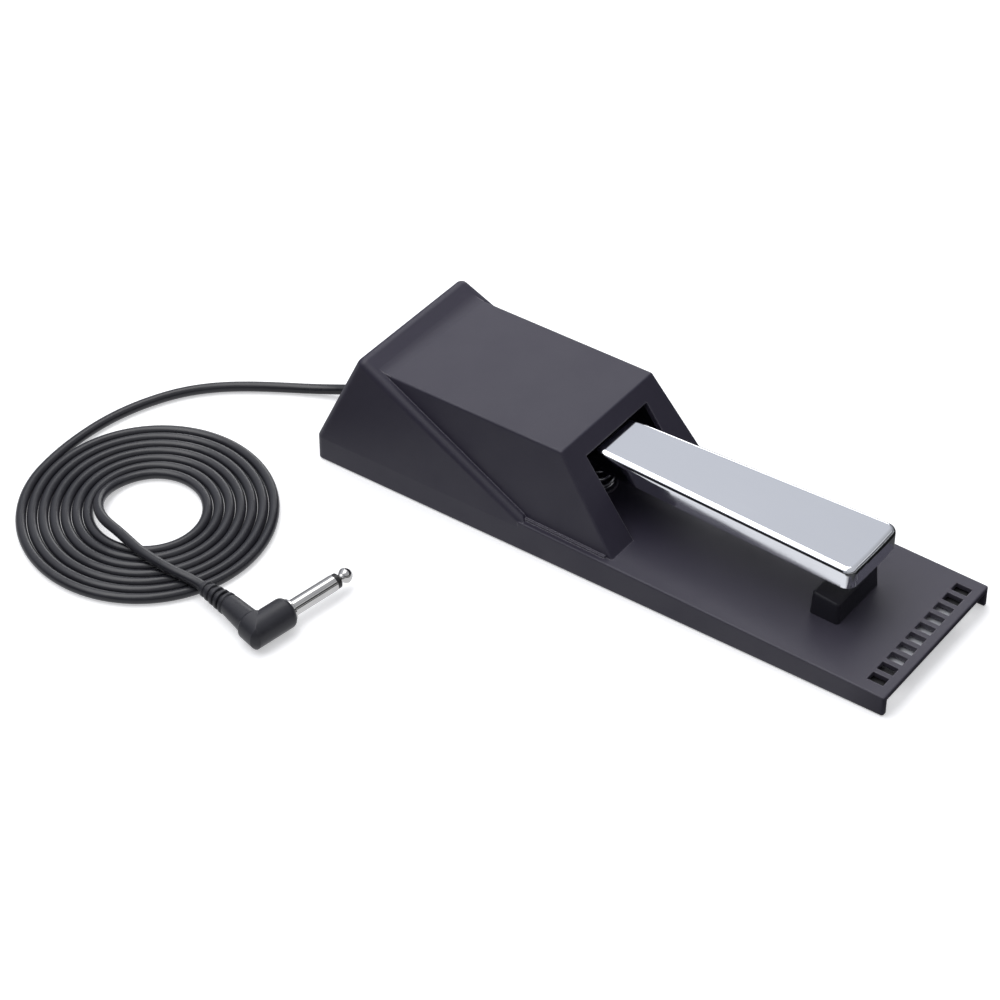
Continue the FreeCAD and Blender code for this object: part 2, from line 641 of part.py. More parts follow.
def axle_clips():
    clips = []
    for side in (-1, 1):
        clip = collar(side, CLIP_X + 0.08, 0.6, 2.32)
        clip = clip.cut(box(*span(side, CLIP_X - 1, CLIP_X + 2), PIVOT_Y - 1.5, PIVOT_Y + 1.5,
                            PIVOT_Z - 8, PIVOT_Z))
        for degrees in (35, 145):
            angle = math.radians(degrees)
            centre = (side * (CLIP_X - 1), PIVOT_Y + 3.2 * math.cos(angle),
                      PIVOT_Z + 3.2 * math.sin(angle))
            clip = clip.cut(cyl(1.1, centre, (side, 0, 0), 3))
        clips.append(clip.Solids[0])
    return Part.makeCompound(clips)


# ---------------------------------------------------------------- switch
SWITCH_Y0, SWITCH_Y1, SWITCH_Z0, SWITCH_Z1, SWITCH_HALF = 48.0, 67.8, 23.2, 33.4, 3.2
SWITCH_HOLES = [(SWITCH_Y0 + 5.1, 26.2), (SWITCH_Y0 + 14.6, 26.2)]     # y, z
LEAF_Y, LEAF_Z, LEAF_LEN, LEAF_DEG = 66.6, 33.95, 15.8, 12.2           # hinge, length, tilt
LEAF_HALF_T = 0.15
PLUNGER_R, PLUNGER_Z0 = 1.0, 28.2
PLUNGER_OFFSET = 6.0                                                   # ahead of the hinge
PLUNGER_Y = LEAF_Y - PLUNGER_OFFSET
TERMINAL_YS = (50.0, 58.0, 65.6)
SHEET_X0, SHEET_T = SWITCH_HALF + GAP, 1.2                             # switch bracket


def switch_body():
    mid_z = (SWITCH_Z0 + SWITCH_Z1) / 2
    body = box(-SWITCH_HALF, SWITCH_HALF, SWITCH_Y0, SWITCH_Y1, SWITCH_Z0, SWITCH_Z1)
    body = try_fillet(body, 0.5, lambda edge: edge.BoundBox.XLength < 0.1
                      and abs(edge.CenterOfMass.z - mid_z) < 1)
    for side in (-1, 1):
        body = body.fuse(box(*span(side, 2.35, SWITCH_HALF), LEAF_Y - 1.2, SWITCH_Y1 - 0.1,
                             SWITCH_Z1 - 0.5, LEAF_Z + 0.95))
    body = body.removeSplitter()
    body = body.cut(cyl(0.56, (-5, LEAF_Y, LEAF_Z), RIGHT, 10))
    body = body.cut(post(1.08, 0, PLUNGER_Y, 26.8, 10))
    for y, z in SWITCH_HOLES:
        body = body.cut(cyl(1.2, (-6, y, z), RIGHT, 12))
    return body


def switch_leaf():
    leaf = box(-1.8, 1.8, -LEAF_LEN, -0.1, -LEAF_HALF_T, LEAF_HALF_T)
    leaf = leaf.fuse(cyl(0.5, (-3.1, 0, 0), RIGHT, 6.2)).removeSplitter()
    leaf = leaf.cut(box(-4, 4, -LEAF_LEN - 1, -LEAF_LEN + 0.01, -1, 1))
    leaf.rotate(Vec(0, 0, 0), Vec(*RIGHT), -LEAF_DEG)
    leaf.translate(Vec(0, LEAF_Y, LEAF_Z))
    return leaf


def switch_plunger():
    tilt = math.radians(LEAF_DEG)
    leaf_under = LEAF_Z + PLUNGER_OFFSET * math.tan(tilt) - LEAF_HALF_T / math.cos(tilt)
    top = leaf_under - 0.06 - 0.9 * math.tan(tilt)
    return try_fillet(post(PLUNGER_R, 0, PLUNGER_Y, PLUNGER_Z0, top - PLUNGER_Z0), 0.35,
                      lambda edge: edge.CenterOfMass.z > top - 0.1)


def switch_terminals():
    terminals = []
    for y in TERMINAL_YS:
        blade = box(-1.6, 1.6, y - 0.25, y + 0.25, 17.3, SWITCH_Z0 - HAIR)
        terminals.append(blade.cut(cyl(0.7, (0, y - 2, 19), REARWARD, 4)).Solids[0])
    return Part.makeCompound(terminals)


def switch_bracket():
    upright = box(SHEET_X0, SHEET_X0 + SHEET_T, 46.5, 68.5, PLATE_TOP + HAIR, 30.6)
    foot = box(SHEET_X0, 16.5, 46.5, 66.5, PLATE_TOP + HAIR, PLATE_TOP + SHEET_T)
    bracket = fuse(upright, foot)
    bracket = bracket.cut(box(SWITCH_HALF - 1, SWITCH_HALF + 3, 55.5, 68.6, 7, 21.5))
    for y, z in SWITCH_HOLES:
        bracket = bracket.cut(cyl(0.98, (0, y, z), RIGHT, 12))
    return drill(bracket, SWITCH_BRACKET_SCREWS, 1.7, 0, 8)


def switch_screws():
    screws = []
    for y, z in SWITCH_HOLES:
        head = try_fillet(cyl(1.9, (-SWITCH_HALF - 1.32, y, z), RIGHT, 1.3), 0.5,
                          lambda edge: edge.CenterOfMass.x < -SWITCH_HALF - 1.2)
        shank = cyl(0.96, (-SWITCH_HALF - 0.5, y, z), RIGHT, 2 * SWITCH_HALF + 2.6)
        screw = head.fuse(shank).removeSplitter()
        screw = screw.cut(box(-SWITCH_HALF - 2, -SWITCH_HALF - 0.8, y - 1.2, y + 1.2,
                              z - 0.25, z + 0.25))
        screws.append(screw.Solids[0])
    return Part.makeCompound(screws)


def switch_bracket_screws():
    return pan_screws(SWITCH_BRACKET_SCREWS, PLATE_TOP + SHEET_T, 2.6, 1.7)


# ---------------------------------------------------------------- cable
# Flat spiral in plan: the radius drops by COIL_PITCH a turn from COIL_R0 at COIL_DEG0,
# and is stretched along COIL_DIR. Angles in degrees.
COIL_X, COIL_Y = -100.5, 153.75
COIL_R0, COIL_PITCH, COIL_DEG0 = 50.0, 4.3, 125.7
COIL_STRETCH, COIL_DIR = 0.035, 35.6
COIL_START, COIL_END = 104.0, 2688.0
CLIMB_START, CLIMB_END = 2575.0, 2682.0    # here the cable climbs over the outer turns
FLOOR_Z = CABLE_R + GAP                    # cable axis, lying on the floor
OVER_Z = 3 * CABLE_R + 0.35                # cable axis, lying across the coil

PLUG_CORNER = Vec(-133.25, 75.55, 6.0)     # where the two arms of the plug body meet
SLEEVE_DIR = Vec(0.98662, -0.16303, 0.0).normalize()   # towards the plug's tip
BOOT_DIR = Vec(0.2700, 0.96286, 0.0).normalize()       # smooth part of the boot, to the cable
RING_DIR = Vec(0.1590, 0.98728, 0.0).normalize()       # ringed part of the boot
BOOT_LEN = 16.5                            # length of the smooth part
BOOT_END = PLUG_CORNER + BOOT_DIR * BOOT_LEN

# cable axis from the clamp out to the coil (x, y, z)
CABLE_LEAD = [
    (0, 99.0, CLAMP_Z), (0, 102.0, CLAMP_Z), (0, 105, CLAMP_Z), (0, 108, CLAMP_Z),
    (0, 110.6, CLAMP_Z + 0.02), (0, 113.4, CLAMP_Z + 0.45), (0, 117.0, GROMMET_Z - 0.6),
    (0, 119.8, GROMMET_Z - 0.02), (0, 122.2, GROMMET_Z), (0, 124.6, GROMMET_Z),
    (0, 127.0, GROMMET_Z), (-0.1, 129.6, GROMMET_Z - 0.3), (-0.9, 134.5, 5.6),
    (-2.4, 140.3, 4.0), (-5.3, 147.7, 2.7), (-9.2, 155.2, FLOOR_Z + 0.1),
    (-15.0, 165.1, FLOOR_Z), (-18.1, 169.8, FLOOR_Z), (-21.3, 174.4, FLOOR_Z),
    (-26.0, 180.2, FLOOR_Z), (-31.0, 185.4, FLOOR_Z), (-42.8, 193.8, FLOOR_Z),
    (-58.9, 200.6, FLOOR_Z), (-74.2, 203.8, FLOOR_Z), (-90.0, 204.4, FLOOR_Z)]
# cable axis from the coil towards the plug (x, y, z)
CABLE_TAIL = [
    (-121.4, 149.6, OVER_Z), (-123.6, 142.5, OVER_Z), (-125.2, 134.0, OVER_Z),
    (-126.0, 125.0, OVER_Z), (-126.1, 116.5, 6.25)]
# distance along the ringed boot, height above its axis
CABLE_IN_BOOT = [(18.5, 0.04), (15.5, 0), (12.0, 0), (8.5, 0), (5.0, 0), (1.4, 0)]


def coil_point(degrees):
    radius = COIL_R0 - COIL_PITCH * (degrees - COIL_DEG0) / 360.0
    radius *= 1 + COIL_STRETCH * math.cos(math.radians(2 * (degrees - COIL_DIR)))
    climb = min(1.0, max(0.0, (degrees - CLIMB_START) / (CLIMB_END - CLIMB_START)))
    angle = math.radians(degrees)
    return (COIL_X + radius * math.cos(angle), COIL_Y + radius * math.sin(angle),
            FLOOR_Z + (OVER_Z - FLOOR_Z) * climb * climb * (3 - 2 * climb))


def cable():
    path = list(CABLE_LEAD)
    degrees = COIL_START
    while degrees < COIL_END:
        path.append(coil_point(degrees))
        degrees += 9.0 if degrees < 1500 else 12.0
    path += CABLE_TAIL
    for distance, lift in CABLE_IN_BOOT:
        point = BOOT_END + RING_DIR * distance
        path.append((point.x, point.y, point.z + lift))
    return pipe(path, CABLE_R, 2)


def cable_grommet():
    inner_y = REAR_Y - WALL
    grommet = cyl(3.27, (0, inner_y - 0.4, GROMMET_Z), REARWARD, WALL + 0.8)
    grommet = grommet.fuse(cyl(3.85, (0, REAR_Y + GAP, GROMMET_Z), REARWARD, 1.1))
    grommet = grommet.fuse(cone(3.2, 2.7, (0, REAR_Y + 0.9, GROMMET_Z), REARWARD, 2.2))
    grommet = grommet.fuse(cyl(3.85, (0, inner_y - 1.12, GROMMET_Z), REARWARD, 1.1))
    bore = cyl(CABLE_R + 0.11, (0, REAR_Y - 8, GROMMET_Z), REARWARD, 16)
    return grommet.removeSplitter().cut(bore)


def cable_clamp():
    bore_r, bore_z = CABLE_R + 0.08, CLAMP_Z + 0.02
    foot_z = PLATE_TOP + HAIR
    clamp = cyl(CABLE_R + 1.25, (0, 105.5, CLAMP_Z), REARWARD, 5.0)
    clamp = clamp.fuse(box(-10.5, 10.5, 105.5, 110.5, foot_z, PLATE_TOP + 1.3)).removeSplitter()
    clamp = clamp.cut(cyl(bore_r, (0, 100, bore_z), REARWARD, 16))
    clamp = clamp.cut(box(-bore_r, bore_r, 100, 116, 0, bore_z))
    clamp = clamp.cut(box(-20, 20, 100, 116, 0, foot_z))
    return drill(clamp, CLAMP_SCREWS, 1.6, 0, 8)


def cable_clamp_screws():
    return pan_screws(CLAMP_SCREWS, PLATE_TOP + 1.3, 2.5, 1.6)


def wire_live():
    return pipe([(-0.9, 98.7, CLAMP_Z + 0.1), (-1.6, 94, 6.6), (-3.2, 84, 8.3), (-5.2, 72, 8.8),
                 (-5.2, 60, 9.6), (-2.4, 51.5, 12.4), (0, 50.0, 15.9), (0, 50.0, 17.2)], 0.65)


def wire_return():
    return pipe([(0.9, 98.7, CLAMP_Z + 0.1), (1.2, 94, 6.8), (1.0, 86, 9.2), (0.4, 76, 12.0),
                 (0.0, 68.5, 13.6), (0, 65.6, 15.9), (0, 65.6, 17.2)], 0.65)


# ---------------------------------------------------------------- plug
SLEEVE_R, SLEEVE_LEN = 3.175, 21.6
PLUG_BODY_R = 6.0
SHOULDER = 14.7                            # from PLUG_CORNER to the body's end face
RINGS, RING_PITCH = 5, 2.75
SLEEVE_START = PLUG_CORNER + SLEEVE_DIR * (SHOULDER + HAIR)
# (radius, distance) points
BOOT_PROFILE = [(0, -9), (PLUG_BODY_R, -9), (PLUG_BODY_R, 3.8), (4.95, 5.2), (4.7, 8.5),
                (4.2, BOOT_LEN), (0, BOOT_LEN)]
TIP_ROD = [(0, 0.3), (1.18, 0.3), (1.18, 23.63), (2.35, 23.63), (2.35, 23.9), (1.75, 24.45),
           (1.62, 24.95), (1.85, 25.6)]
TIP_NOSE = [(1.85, 25.6), (2.55, 26.5), (2.92, 27.35), (2.72, 28.4), (2.0, 29.5),
            (1.05, 30.2), (0, 30.48)]


def profile_points(profile):
    return [Vec(radius, 0, distance) for radius, distance in profile]


def turned(wire, start, direction):
    """Turns a closed wire around Z, then lays the axis through start along direction."""
    shape = Part.Face(wire).revolve(Vec(0, 0, 0), Vec(*UP), 360)
    # the revolution may come back as a bare shell
    shape = shape.Solids[0] if shape.Solids else Part.Solid(shape.Shells[0])
    shape.Placement = FreeCAD.Placement(start, FreeCAD.Rotation(Vec(*UP), direction))
    return shape


def turned_profile(profile, start, direction):
    points = profile_points(profile)
    return turned(Part.makePolygon(points + points[:1]), start, direction)


def mitre_side(normal):
    """Block on one side of the mitre plane through PLUG_CORNER."""
    block = Part.makeBox(40, 40, 40, Vec(-20, -20, 0))
    block.Placement = FreeCAD.Placement(PLUG_CORNER, FreeCAD.Rotation(Vec(*UP), normal))
    return block


def ringed_boot():
    def core_r(distance):
        return 2.95 - 0.022 * distance

    profile = [(0, -0.7), (core_r(-0.7), -0.7)]
    for i in range(RINGS):
        start, outer = 1.6 + i * RING_PITCH, 4.25 - 0.26 * i
        profile += [(core_r(start), start), (outer - 0.3, start), (outer, start + 0.3),
                    (outer, start + 1.2), (outer - 0.3, start + 1.5),
                    (core_r(start + 1.5), start + 1.5)]
    profile += [(core_r(14.9), 14.9), (0, 14.9)]
    return turned_profile(profile, BOOT_END, RING_DIR)


def plug_body():
    mitre = (SLEEVE_DIR - BOOT_DIR).normalize()
    end = PLUG_CORNER + SLEEVE_DIR * SHOULDER
    sleeve_arm = Part.makeCylinder(PLUG_BODY_R, SHOULDER + 9, PLUG_CORNER - SLEEVE_DIR * 9,
                                   SLEEVE_DIR)
    sleeve_arm = try_fillet(sleeve_arm, 2.2,
                            lambda edge: edge.CenterOfMass.distanceToPoint(end) < 0.3)
    sleeve_arm = sleeve_arm.common(mitre_side(mitre))
    boot_arm = turned_profile(BOOT_PROFILE, PLUG_CORNER, BOOT_DIR).common(mitre_side(mitre * -1))
    body = sleeve_arm.fuse(boot_arm).removeSplitter()
    # the outer corner of the elbow is rounded off by a ball
    keep = Part.makeSphere(7.1, PLUG_CORNER)
    for direction in (SLEEVE_DIR, BOOT_DIR):
        keep = keep.fuse(Part.makeCylinder(6.4, 40, PLUG_CORNER, direction))
    body = body.common(keep).removeSplitter()
    body = body.fuse(ringed_boot()).fuse(Part.makeSphere(4.18, BOOT_END - BOOT_DIR * 0.1))
    body = body.removeSplitter()
    return body.cut(Part.makeCylinder(CABLE_R + 0.1, 15.6, BOOT_END + RING_DIR * 1.0, RING_DIR))


def sleeve_rod(radius, distance, length):
    """Cylinder on the sleeve axis, starting at a distance from SLEEVE_START."""
    return Part.makeCylinder(radius, length, SLEEVE_START + SLEEVE_DIR * distance, SLEEVE_DIR)


def plug_sleeve():
    sleeve = sleeve_rod(SLEEVE_R, 0, SLEEVE_LEN).fuse(sleeve_rod(4.3, 0, 0.8))
    return sleeve.removeSplitter().cut(sleeve_rod(2.0, -2, 30))


def plug_insulator():
    ring = sleeve_rod(SLEEVE_R - 0.22, SLEEVE_LEN + HAIR, 2.0)
    insulator = ring.fuse(sleeve_rod(1.98, 0.2, SLEEVE_LEN)).removeSplitter()
    return insulator.cut(sleeve_rod(1.2, -2, 40))


def plug_tip():
    """Rod inside the insulator, waist and rounded conical end, turned in one piece."""
    rod, nose = profile_points(TIP_ROD), profile_points(TIP_NOSE)
    curve = Part.BSplineCurve()
    curve.interpolate(nose)
    edges = lines(rod) + [curve.toShape(), Part.makeLine(nose[-1], rod[0])]
    return turned(Part.Wire(edges), SLEEVE_START, SLEEVE_DIR)


# ---------------------------------------------------------------- build
# each function is named after the node it builds
os.makedirs("parts", exist_ok=True)
for build in (upper_case, bottom_plate, anti_slip_mat, case_screws,
              pedal_lever, lever_bushes, spring_cup, return_spring, stop_block, up_stop_felt,
              pivot_bracket, bracket_screws, pivot_axle, axle_clips,
              switch_body, switch_leaf, switch_plunger, switch_terminals, switch_bracket,
              switch_screws, switch_bracket_screws,
              cable, cable_grommet, cable_clamp, cable_clamp_screws, wire_live, wire_return,
              plug_body, plug_sleeve, plug_insulator, plug_tip):
    save(build.__name__, build())
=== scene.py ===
# A foot pedal: plastic case, chrome lever, return spring, cable and plug.
# It stands on z = 0 with +Z up, and its lever runs along Y. Front means -Y, rear +Y, left -X.
# Units are metres.
import json
import math

import bmesh
import bpy
from mathutils import Matrix, Vector


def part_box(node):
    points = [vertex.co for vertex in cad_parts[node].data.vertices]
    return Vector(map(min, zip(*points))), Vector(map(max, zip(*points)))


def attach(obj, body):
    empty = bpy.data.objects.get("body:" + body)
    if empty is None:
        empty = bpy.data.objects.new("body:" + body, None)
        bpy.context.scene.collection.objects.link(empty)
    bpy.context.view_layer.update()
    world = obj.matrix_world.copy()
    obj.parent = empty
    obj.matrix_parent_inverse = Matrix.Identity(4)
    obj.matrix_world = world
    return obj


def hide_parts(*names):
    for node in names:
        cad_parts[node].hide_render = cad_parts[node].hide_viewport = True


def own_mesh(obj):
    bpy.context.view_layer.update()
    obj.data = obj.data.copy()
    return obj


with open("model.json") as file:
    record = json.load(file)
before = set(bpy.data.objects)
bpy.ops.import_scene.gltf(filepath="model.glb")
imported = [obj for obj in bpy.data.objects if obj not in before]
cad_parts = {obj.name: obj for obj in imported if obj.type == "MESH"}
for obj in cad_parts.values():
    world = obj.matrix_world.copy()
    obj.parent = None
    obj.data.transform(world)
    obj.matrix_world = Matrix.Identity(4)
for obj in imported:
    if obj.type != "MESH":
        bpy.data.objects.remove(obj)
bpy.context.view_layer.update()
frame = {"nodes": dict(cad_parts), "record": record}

BLACK = (0, 0, 0)
WHITE = (1, 1, 1)


# ------------------------------------------------------------------ node helpers
PRINCIPLED_INPUTS = {
    "color": "Base Color",
    "roughness": "Roughness",
    "metallic": "Metallic",
    "specular": "Specular IOR Level",
    "normal": "Normal",
    "sheen": "Sheen Weight",
    "sheen_roughness": "Sheen Roughness",
    "subsurface": "Subsurface Weight",
    "subsurface_scale": "Subsurface Scale",
}


class Graph:
    """The node tree of a material or world. Inputs may be numbers, colours or other sockets."""

    def __init__(self, owner, coordinates="Object"):
        owner.use_nodes = True
        self.tree = owner.node_tree
        self.position = self.node("ShaderNodeTexCoord").outputs[coordinates]

    def node(self, kind, inputs=None, **properties):
        node = self.tree.nodes.new(kind)
        for key, value in properties.items():
            setattr(node, key, value)
        for key, value in (inputs or {}).items():
            self.put(node.inputs[key], value)
        return node

    def put(self, socket, value):
        """Link a socket, or set its value; a three-part colour gets an alpha of 1."""
        if hasattr(value, "is_output"):
            self.tree.links.new(value, socket)
        elif isinstance(value, tuple) and len(value) == 3 and socket.type == "RGBA":
            socket.default_value = (*value, 1.0)
        else:
            socket.default_value = value

    def surface(self, **values):
        """Set the Principled shader and return its output."""
        shader = self.tree.nodes["Principled BSDF"]
        for key, value in values.items():
            self.put(shader.inputs[PRINCIPLED_INPUTS[key]], value)
        return shader.outputs["BSDF"]

    def axes(self):
        return self.node("ShaderNodeSeparateXYZ", {0: self.position}).outputs

    def scaled(self, scale):
        """Coordinates scaled per axis; a small scale draws a texture out along that axis."""
        inputs = {"Vector": self.position, "Scale": scale}
        return self.node("ShaderNodeMapping", inputs).outputs["Vector"]

    def noise(self, scale, detail=3.0, roughness=0.55, vector=None, distortion=0.0):
        inputs = {
            "Vector": vector or self.position,
            "Scale": scale,
            "Detail": detail,
            "Roughness": roughness,
            "Distortion": distortion,
        }
        return self.node("ShaderNodeTexNoise", inputs).outputs["Fac"]

    def voronoi(self, scale):
        inputs = {"Vector": self.position, "Scale": scale}
        return self.node("ShaderNodeTexVoronoi", inputs).outputs["Distance"]

    def ramp(self, factor, stops):
        """Colour ramp; stops are (position, colour)."""
        node = self.node("ShaderNodeValToRGB", {"Fac": factor})
        elements = node.color_ramp.elements
        while len(elements) < len(stops):
            elements.new(0.5)
        for element, (position, color) in zip(elements, stops):
            element.position = position
            element.color = (*color, 1)
        return node.outputs["Color"]

    def math(self, operation, first, second):
        return self.node("ShaderNodeMath", {0: first, 1: second}, operation=operation).outputs[0]

    def times(self, value, factor):
        return self.math("MULTIPLY", value, factor)

    def mix(self, factor, first, second, blend="MIX"):
        inputs = {"Factor": factor, 6: first, 7: second}
        node = self.node("ShaderNodeMix", data_type="RGBA", blend_type=blend, inputs=inputs)
        return node.outputs[2]

    def mix_shader(self, factor, first, second):
        inputs = {"Fac": factor, 1: first, 2: second}
        return self.node("ShaderNodeMixShader", inputs).outputs["Shader"]

    def remap(self, value, span=(0.3, 0.7), to=(0.0, 1.0)):
        """Map the values of a span onto another, clamped."""
        inputs = {"Value": value, 1: span[0], 2: span[1], 3: to[0], 4: to[1]}
        return self.node("ShaderNodeMapRange", inputs).outputs["Result"]

    def rounded(self, radius, samples=6):
        """Normal rounded over sharp edges, for a soft highlight there."""
        node = self.node("ShaderNodeBevel", {"Radius": radius}, samples=samples)
        return node.outputs["Normal"]

    def edge_wear_and_highlight(self, radius):
        """About 1 on convex and concave edges, 0 on flats."""
        flat = self.node("ShaderNodeNewGeometry").outputs["Normal"]
        inputs = {0: self.rounded(radius, samples=4), 1: flat}
        dot = self.node("ShaderNodeVectorMath", inputs, operation="DOT_PRODUCT")
        bend = self.math("SUBTRACT", 1.0, dot.outputs["Value"])
        return self.remap(bend, span=(0.02, 0.25))

    def bump(self, height, strength, distance, edge=None):
        """Bumped normal, over edges rounded to the radius `edge` if one is given."""
        inputs = {"Height": height, "Strength": strength, "Distance": distance}
        if edge is not None:
            inputs["Normal"] = self.rounded(edge)
        return self.node("ShaderNodeBump", inputs).outputs["Normal"]


def shade(color, gain, offset=0.0):
    """A lighter or darker version of a colour."""
    return tuple(min(1.0, channel * gain + offset) for channel in color)


# ------------------------------------------------------------------ materials
def moulded_plastic(mat):
    """Charcoal plastic with a fine grain, painted highlights on its edges and painted light
    towards the front.
    """
    grain = mat.noise(scale=3200, detail=2.0, roughness=0.6)
    pebble = mat.voronoi(scale=1500)
    cloud = mat.noise(scale=9, detail=4.0, roughness=0.6)
    fine = mat.noise(scale=70, detail=3.0, roughness=0.5)

    dark, light = (0.024, 0.021, 0.038), (0.030, 0.026, 0.046)
    grain_color, painted_edge_highlight_color = (0.042, 0.037, 0.060), (0.190, 0.180, 0.215)
    painted_toe_light_color = (0.085, 0.080, 0.100)
    color = mat.mix(mat.remap(cloud), dark, light)
    grain_amount = mat.remap(grain, span=(0.35, 0.65), to=(0.0, 0.35))
    color = mat.mix(grain_amount, color, grain_color)
    # painted highlight: edges are lightened to stand in for the bright lines that light draws
    # along them
    color = mat.mix(mat.times(mat.edge_wear_and_highlight(radius=0.0009), factor=0.8), color, painted_edge_highlight_color)
    # painted light: the plastic is made lighter towards the front, as if more light fell on the
    # toe
    towards_front = mat.remap(mat.axes()["Y"], span=(-0.128, -0.03), to=(0.55, 0.0))
    patch_mask = mat.times(towards_front, mat.remap(cloud, to=(0.8, 1.2)))
    color = mat.mix(patch_mask, color, painted_toe_light_color)

    roughness = mat.math(
        "ADD", mat.remap(fine, to=(0.44, 0.52)), mat.remap(grain, to=(-0.03, 0.03)))
    polish = mat.times(mat.edge_wear_and_highlight(radius=0.0007), factor=0.14)
    roughness = mat.math("SUBTRACT", roughness, polish)
    height = mat.math("ADD", mat.times(grain, factor=0.6), mat.times(pebble, factor=0.4))
    mat.surface(color=color, roughness=roughness, specular=0.5,
                normal=mat.bump(height, strength=0.22, distance=0.00006, edge=0.0007))


def chrome(mat):
    """Polished chrome with fine polishing lines along Y and faint smears."""
    lines = mat.noise(scale=900, detail=2.0, roughness=0.5, vector=mat.scaled((1.0, 0.02, 1.0)))
    smear = mat.noise(scale=38, detail=4.0, roughness=0.6, distortion=0.6)
    clean, smeared = (0.91, 0.925, 0.955), (0.87, 0.885, 0.92)
    roughness = mat.math(
        "ADD",
        mat.remap(smear, span=(0.35, 0.75), to=(0.075, 0.13)),
        mat.remap(lines, span=(0.4, 0.7), to=(0.0, 0.03)))
    color = mat.mix(mat.remap(smear, span=(0.4, 0.8), to=(0.0, 0.5)), clean, smeared)
    mat.surface(color=color, metallic=1.0, roughness=roughness,
                normal=mat.bump(lines, strength=0.05, distance=0.00002, edge=0.0004))


def rubber(mat, color, roughness, grain_scale=1200, bump=0.25, dust=0.3):
    """Matt rubber, clouded by dust and paler on its edges."""
    grain = mat.noise(scale=grain_scale, detail=3.0, roughness=0.6)
    cloud = mat.noise(scale=22, detail=4.0, roughness=0.6)
    dusty = shade(color, gain=1.9, offset=0.01)
    worn = shade(color, gain=2.4, offset=0.01)
    base = mat.mix(mat.remap(cloud, span=(0.35, 0.75), to=(0.0, dust)), color, dusty)
    base = mat.mix(mat.times(mat.edge_wear_and_highlight(radius=0.0006), factor=0.25), base, worn)
    mat.surface(color=base, specular=0.45,
                roughness=mat.remap(grain, to=(roughness - 0.06, roughness + 0.06)),
                normal=mat.bump(grain, strength=bump, distance=0.00005, edge=0.0004))


def pvc_cable(mat):
    """Satin black PVC jacket with a tiny ripple and scuffs."""
    ripple = mat.noise(scale=420, detail=3.0, roughness=0.5)
    patch_mask = mat.noise(scale=55, detail=4.0, roughness=0.65)
    black, scuffed = (0.016, 0.016, 0.021), (0.031, 0.031, 0.038)
    mat.surface(color=mat.mix(mat.remap(patch_mask, span=(0.45, 0.8), to=(0.0, 0.6)), black, scuffed),
                roughness=mat.remap(patch_mask, to=(0.26, 0.36)), specular=0.6,
                normal=mat.bump(ripple, strength=0.12, distance=0.00008))


def plug_moulding(mat):
    """Black moulded PVC with a fine grain, scuffs and paler edges."""
    grain = mat.noise(scale=1500, detail=3.0, roughness=0.55)
    patch_mask = mat.noise(scale=80, detail=3.0, roughness=0.6)
    black, scuffed = (0.021, 0.021, 0.027), (0.036, 0.036, 0.045)
    worn = (0.085, 0.086, 0.095)
    color = mat.mix(mat.remap(patch_mask, span=(0.4, 0.8), to=(0.0, 0.6)), black, scuffed)
    color = mat.mix(mat.times(mat.edge_wear_and_highlight(radius=0.0005), factor=0.3), color, worn)
    mat.surface(color=color, roughness=mat.remap(patch_mask, to=(0.36, 0.46)), specular=0.5,
                normal=mat.bump(grain, strength=0.15, distance=0.00005, edge=0.0004))


def steel(mat, color, roughness, metallic=1.0, stretch=(1, 0.03, 1), zinc=0.0):
    """Steel with a fine finish; zinc adds the pale cloudy crystal look of plating."""
    lines = mat.noise(scale=700, detail=3.0, roughness=0.6, vector=mat.scaled(stretch))
    cloud = mat.noise(scale=60, detail=4.0, roughness=0.6)
    zinc_color = (0.62, 0.64, 0.66)
    base = mat.mix(mat.remap(cloud, span=(0.3, 0.75)), color, shade(color, gain=0.86))
    if zinc:
        crystals = mat.remap(mat.voronoi(scale=260), span=(0.1, 0.6), to=(0.0, zinc))
        base = mat.mix(crystals, base, zinc_color)
    finish = mat.math(
        "ADD",
        mat.remap(lines, span=(0.35, 0.7), to=(roughness - 0.05, roughness + 0.08)),
        mat.remap(cloud, to=(-0.03, 0.04)))
    mat.surface(color=base, metallic=metallic, roughness=finish,
                normal=mat.bump(lines, strength=0.10, distance=0.00003, edge=0.0003))


def nickel(mat):
    """Bright nickel plate with a very fine, shallow grain."""
    grain = mat.noise(scale=1600, detail=2.0, roughness=0.5)
    smear = mat.noise(scale=140, detail=3.0, roughness=0.6)
    clean, smeared = (0.68, 0.67, 0.65), (0.57, 0.56, 0.55)
    mat.surface(color=mat.mix(mat.remap(smear, span=(0.4, 0.8), to=(0.0, 0.7)), clean, smeared),
                metallic=1.0, roughness=mat.remap(smear, to=(0.05, 0.10)),
                normal=mat.bump(grain, strength=0.04, distance=0.00002, edge=0.0002))


def nylon(mat):
    """Warm white nylon that lets a little light in."""
    grain = mat.noise(scale=900, detail=2.0, roughness=0.5)
    cloud = mat.noise(scale=45, detail=3.0, roughness=0.5)
    white = (0.80, 0.78, 0.72)
    mat.surface(color=mat.mix(cloud, white, shade(white, gain=0.9)),
                roughness=mat.remap(grain, to=(0.36, 0.46)),
                subsurface=0.12, subsurface_scale=0.002,
                normal=mat.bump(grain, strength=0.08, distance=0.00005, edge=0.0003))


def felt(mat):
    """Grey felt: two tangled layers of fibres under a soft sheen."""
    fibres = mat.noise(scale=2600, detail=5.0, roughness=0.75, distortion=2.0)
    tufts = mat.noise(scale=700, detail=4.0, roughness=0.7, distortion=1.2,
                      vector=mat.scaled((1, 1, 3)))
    dark, light = (0.10, 0.10, 0.105), (0.24, 0.24, 0.25)
    mat.surface(color=mat.mix(mat.remap(fibres), dark, light), roughness=0.95,
                sheen=0.6, sheen_roughness=0.5, specular=0.15,
                normal=mat.bump(mat.math("ADD", fibres, tufts), strength=0.8, distance=0.0003))


